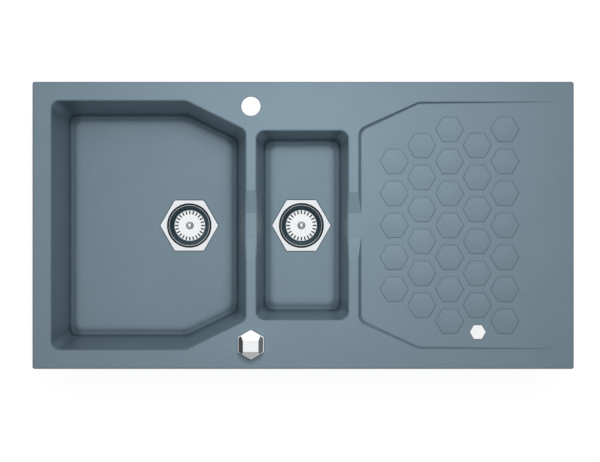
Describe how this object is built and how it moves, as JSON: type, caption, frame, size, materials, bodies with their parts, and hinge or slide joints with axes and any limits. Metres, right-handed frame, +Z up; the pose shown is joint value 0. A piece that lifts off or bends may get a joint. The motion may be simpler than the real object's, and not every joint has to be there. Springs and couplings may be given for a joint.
{
  "type": "inset kitchen sink",
  "caption": "Inset composite sink with a large bowl, a small bowl and a sloping drainer with raised hexagons, hexagonal basket strainers and a knob that lifts a basket.",
  "frame": {"origin": "middle of the worktop cut-out, on the worktop's surface, where the underside of the rim lies", "axes": "+X along the sink towards the drainer, +Y to the back, +Z up out of the worktop"},
  "size_m": [0.98, 0.52, 0.3394],
  "materials": {
    "composite": "satin",
    "polished_steel": "polished",
    "satin_steel": "satin",
    "chrome": "polished",
    "rubber": "matte",
    "waste_plastic": "matte",
    "lever_plastic": "matte",
    "housing_plastic": "matte"
  },
  "bodies": {
    "sink": {"sink_body": "composite", "drainer_badge": "polished_steel", "strainer_cups": "satin_steel", "cup_seals": "rubber", "body_seals": "rubber", "fixing_bolts": "satin_steel", "large_waste_body": "waste_plastic", "small_waste_body": "waste_plastic", "control_seal": "rubber", "control_rosette": "chrome", "control_clamp": "satin_steel", "control_housing": "housing_plastic", "housing_cover": "housing_plastic"},
    "control": {"control_knob": "chrome", "control_spindle": "satin_steel"},
    "bell_crank": {"lift_lever": "lever_plastic"},
    "lift": {"lift_pin": "satin_steel"},
    "large_strainer": {"large_basket": "satin_steel", "large_stopper": "rubber"},
    "small_strainer": {"small_basket": "satin_steel", "small_stopper": "rubber"}
  },
  "joints": [
    {"name": "control_turn", "type": "hinge", "parent": "sink", "child": "control", "pos_m": [-0.0945, -0.21575, 0.008], "axis": [0, 0, 1], "range_deg": [0, 90]},
    {"name": "lever_swing", "type": "hinge", "parent": "sink", "child": "bell_crank", "pos_m": [-0.2135, -0.03, -0.25998], "axis": [1, 0, 0], "range_deg": [0, 19.2]},
    {"name": "pin_lift", "type": "slide", "parent": "sink", "child": "lift", "axis": [0, 0, 1], "range_m": [0, 0.01001]},
    {"name": "large_basket_lift", "type": "slide", "parent": "lift", "child": "large_strainer", "axis": [0, 0, 1], "range_m": [0, 0.25]},
    {"name": "small_basket_lift", "type": "slide", "parent": "sink", "child": "small_strainer", "axis": [0, 0, 1], "range_m": [0, 0.19]}
  ],
  "couplings": [
    {"joint": "lever_swing", "follows": "control_turn", "ratio": 0.2132},
    {"joint": "pin_lift", "follows": "control_turn", "m_per_rad": 0.0063662}
  ]
}
